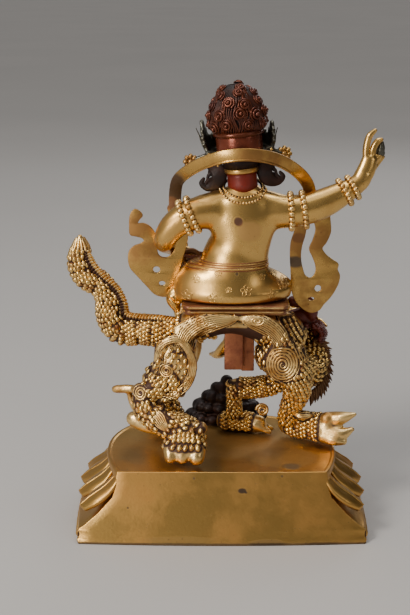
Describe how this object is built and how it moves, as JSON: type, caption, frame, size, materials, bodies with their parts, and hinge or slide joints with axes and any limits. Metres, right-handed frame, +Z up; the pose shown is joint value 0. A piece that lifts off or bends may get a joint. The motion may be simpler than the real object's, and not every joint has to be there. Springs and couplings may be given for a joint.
{
  "type": "deity statuette",
  "caption": "Gilt copper-alloy statuette of a seated deity with a raised hand and a mongoose, riding a scaled dragon on a lotus plinth with a flat back.",
  "frame": {"origin": "on the plinth's flat underside, midway between its left and right sides, 44 mm in front of the foot of its flat back's corners", "axes": "+Z up, +Y to the figure's front, so the plinth's plain flat back faces -Y, and +X towards the figure's raised right hand, with the dragon's tail at -X"},
  "size_m": [0.1324, 0.0916, 0.1848],
  "materials": {
    "gilt_plinth": "worn gilding over copper alloy, with brown stains and small dark pits",
    "gilt_dragon": "gilding with dark red-brown recesses, and a red painted mane",
    "gilt_figure": "smooth, worn gilding, with red-brown painted hair and ungilded copper tangs",
    "dark_crown": "dark brown-black ungilded copper alloy with gilt and red rosettes",
    "gilt_scarf": "worn gilding over copper alloy, brown at the ends"
  },
  "bodies": {
    "root": {"plinth": "gilt_plinth", "dragon": "gilt_dragon", "jambhala": "gilt_figure", "crown": "dark_crown", "scarf": "gilt_scarf"}
  },
  "joints": []
}
